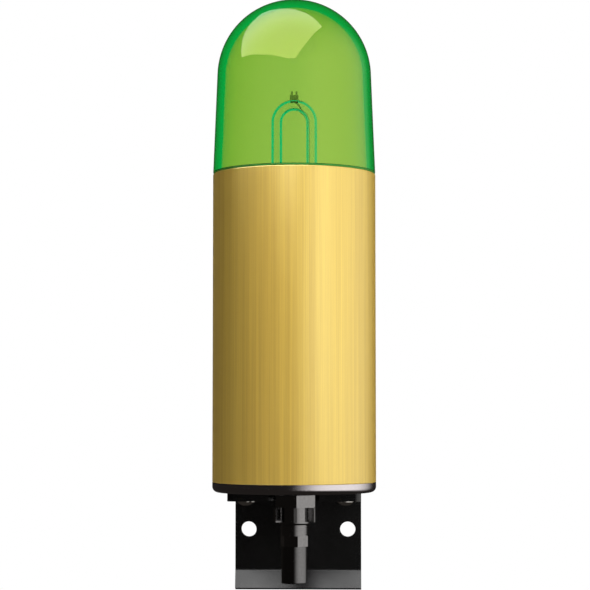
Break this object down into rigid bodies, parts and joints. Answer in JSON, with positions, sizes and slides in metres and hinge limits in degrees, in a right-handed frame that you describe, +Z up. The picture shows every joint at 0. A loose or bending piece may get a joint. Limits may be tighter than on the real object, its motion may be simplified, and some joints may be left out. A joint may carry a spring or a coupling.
{
  "type": "wall-mounted flashing signal light",
  "caption": "Green-domed flash tube signal light in a gold tube housing, on a black angle bracket with a cable gland and short lead underneath.",
  "frame": {"origin": "centre of the two wall holes, on the wall face of the bracket", "axes": "+Z up along the lamp, +Y into the wall, +X to the right seen from the front"},
  "size_m": [0.07, 0.0915, 0.2588],
  "materials": {
    "green_dome": "clear yellow-green moulded plastic",
    "clear_gasket": "green flat rubber",
    "black_rubber": "black rubber",
    "plain_aluminium": "turned, satin",
    "gold_tube": "gold anodised, brushed along its length",
    "black_cap": "black, satin",
    "bright_screw": "bright plated",
    "black_bracket": "black powder coat",
    "white_reflector": "white, glossy",
    "tube_glass": "clear glass",
    "electrode_metal": "drawn nickel wire",
    "white_ceramic": "glazed",
    "tinned_brass": "tinned",
    "board": "glass-fibre board with green lacquer",
    "wound_wire": "enamelled copper wire",
    "orange_film": "dipped",
    "white_plastic": "moulded",
    "capacitor_sleeve": "shrunk-on sleeve",
    "grey_ferrite": "ground ferrite",
    "black_plastic": "moulded",
    "resistor_body": "lacquered",
    "green_plastic": "moulded",
    "gland_black": "black plated, satin",
    "sleeve_rubber": "smooth black rubber, satin",
    "black_sheath": "black sheath",
    "brown_core": "insulation",
    "blue_core": "insulation",
    "green_core": "insulation",
    "red_wire": "insulation"
  },
  "bodies": {
    "housing": {"dome_gasket": "clear_gasket", "lens_collar": "plain_aluminium", "housing_tube": "gold_tube", "base_cap": "black_cap", "base_o_ring": "black_rubber", "tie_rods": "plain_aluminium", "tie_rod_screws": "bright_screw", "bracket": "black_bracket", "bracket_screws": "bright_screw", "bracket_washers": "bright_screw", "reflector": "white_reflector", "tube_socket": "white_ceramic", "socket_contacts": "tinned_brass", "upper_board": "board", "board_spacers": "bright_screw", "board_screws": "bright_screw", "trigger_coil": "wound_wire", "trigger_capacitor": "orange_film", "main_board": "board", "board_brackets": "plain_aluminium", "board_bracket_screws": "bright_screw", "board_guides": "white_plastic", "storage_capacitor": "capacitor_sleeve", "capacitor_tie": "white_plastic", "transformer_core": "grey_ferrite", "transformer_winding": "wound_wire", "heat_sink": "plain_aluminium", "power_transistor": "black_plastic", "transistor_screw": "bright_screw", "bridge_rectifier": "black_plastic", "resistors": "resistor_body", "fuse": "tube_glass", "fuse_clips": "tinned_brass", "terminal_block": "green_plastic", "terminal_screws": "bright_screw", "earth_screw": "tinned_brass", "earth_tag": "tinned_brass", "gland_seal": "black_rubber", "gland_body": "gland_black", "gland_locknut": "gland_black", "gland_insert": "black_rubber", "lead_sheath": "black_sheath", "live_core": "brown_core", "neutral_core": "blue_core", "earth_core": "green_core", "link_wires": "red_wire"},
    "dome_rise": {"dome_o_ring": "black_rubber"},
    "dome": {"dome_lens": "green_dome"},
    "flash_lamp": {"flash_tube": "tube_glass", "electrodes": "electrode_metal", "trigger_wire": "electrode_metal", "plug_base": "white_ceramic", "plug_pins": "tinned_brass"},
    "gland_slide": {"slip_ring": "white_plastic", "lead_sleeve": "sleeve_rubber"},
    "gland_turn": {"gland_nut": "gland_black", "clamp_bush": "white_plastic", "clamp_nut": "gland_black"}
  },
  "joints": [
    {"name": "dome_rise", "type": "slide", "parent": "housing", "child": "dome_rise", "axis": [0, 0, 1], "range_m": [0, 0.009]},
    {"name": "dome_turn", "type": "hinge", "parent": "dome_rise", "child": "dome", "pos_m": [0, -0.0565, 0.15], "axis": [0, 0, 1], "range_deg": [0, 1080]},
    {"name": "tube_pull", "type": "slide", "parent": "housing", "child": "flash_lamp", "axis": [0, 0, 1], "range_m": [0, 0.012]},
    {"name": "gland_nut_drop", "type": "slide", "parent": "housing", "child": "gland_slide", "axis": [0, 0, -1], "range_m": [0, 0.003]},
    {"name": "gland_nut_turn", "type": "hinge", "parent": "gland_slide", "child": "gland_turn", "pos_m": [0, -0.0565, 0.01], "axis": [0, 0, -1], "range_deg": [0, 720]}
  ],
  "couplings": [
    {"joint": "dome_rise", "follows": "dome_turn", "m_per_rad": 0.00047746},
    {"joint": "gland_nut_drop", "follows": "gland_nut_turn", "m_per_rad": 0.00023873}
  ]
}
